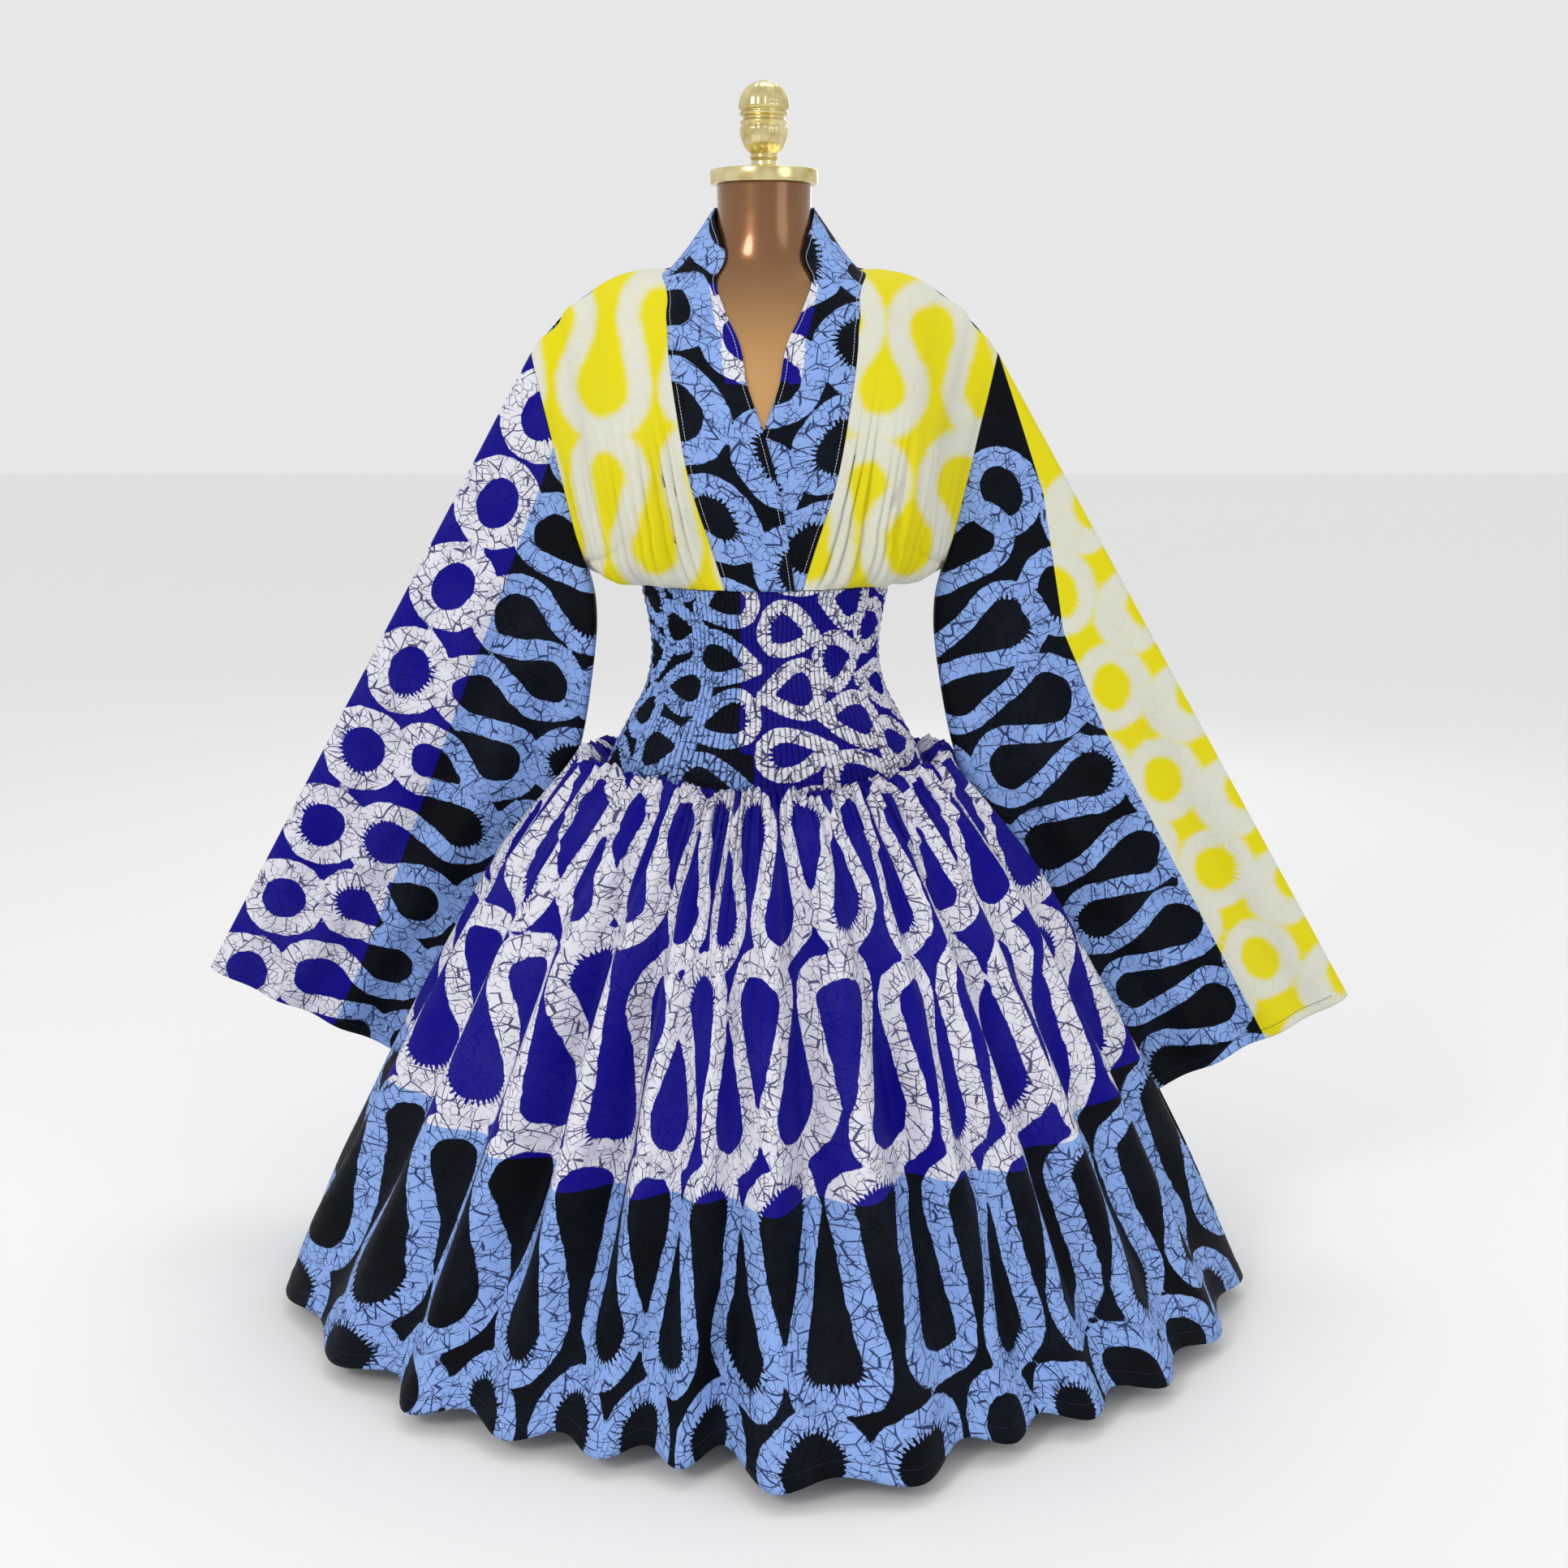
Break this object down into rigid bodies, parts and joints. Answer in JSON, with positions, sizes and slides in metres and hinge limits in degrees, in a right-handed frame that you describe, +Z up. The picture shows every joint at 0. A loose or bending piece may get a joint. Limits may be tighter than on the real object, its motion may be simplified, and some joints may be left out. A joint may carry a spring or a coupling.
{
  "type": "wax print dress with wide sleeves on a limbless dress form",
  "caption": "Wax print dress with a wrap neckband, wide flat sleeves, smocked waist and full gathered skirt, standing on a limbless dress form with a round base.",
  "frame": {"origin": "centre of the stand's base on the floor", "axes": "+Z up, -Y the way the wearer faces, +X the wearer's left"},
  "size_m": [1.355, 0.9779, 1.338],
  "materials": {
    "form_bronze": "glossy bronze-brown paint on a fibreglass shell",
    "form_brass": "polished pale brass",
    "stand_steel": "plain brushed steel",
    "cloth_yellow": "yellow waxed cotton with pale ribbons",
    "cloth_royal": "royal blue waxed cotton with white crackled ribbons",
    "cloth_black": "near-black waxed cotton with light blue crackled ribbons",
    "cloth_light_blue": "smocked waxed cotton, light blue and white ribbons on near-black and royal blue"
  },
  "bodies": {
    "root": {"form_torso": "form_bronze", "form_neck_cap": "form_brass", "form_finial": "form_brass", "form_pole": "stand_steel", "form_base": "stand_steel", "waist_front": "cloth_light_blue", "waist_back": "cloth_light_blue", "bodice_front_left": "cloth_yellow", "bodice_front_right": "cloth_yellow", "bodice_back": "cloth_black", "neckband_left": "cloth_black", "neckband_right": "cloth_black", "sleeve_left_front": "cloth_black", "sleeve_left_back": "cloth_black", "sleeve_right_front": "cloth_royal", "sleeve_right_back": "cloth_royal", "skirt_front": "cloth_royal", "skirt_back": "cloth_royal"}
  },
  "joints": []
}
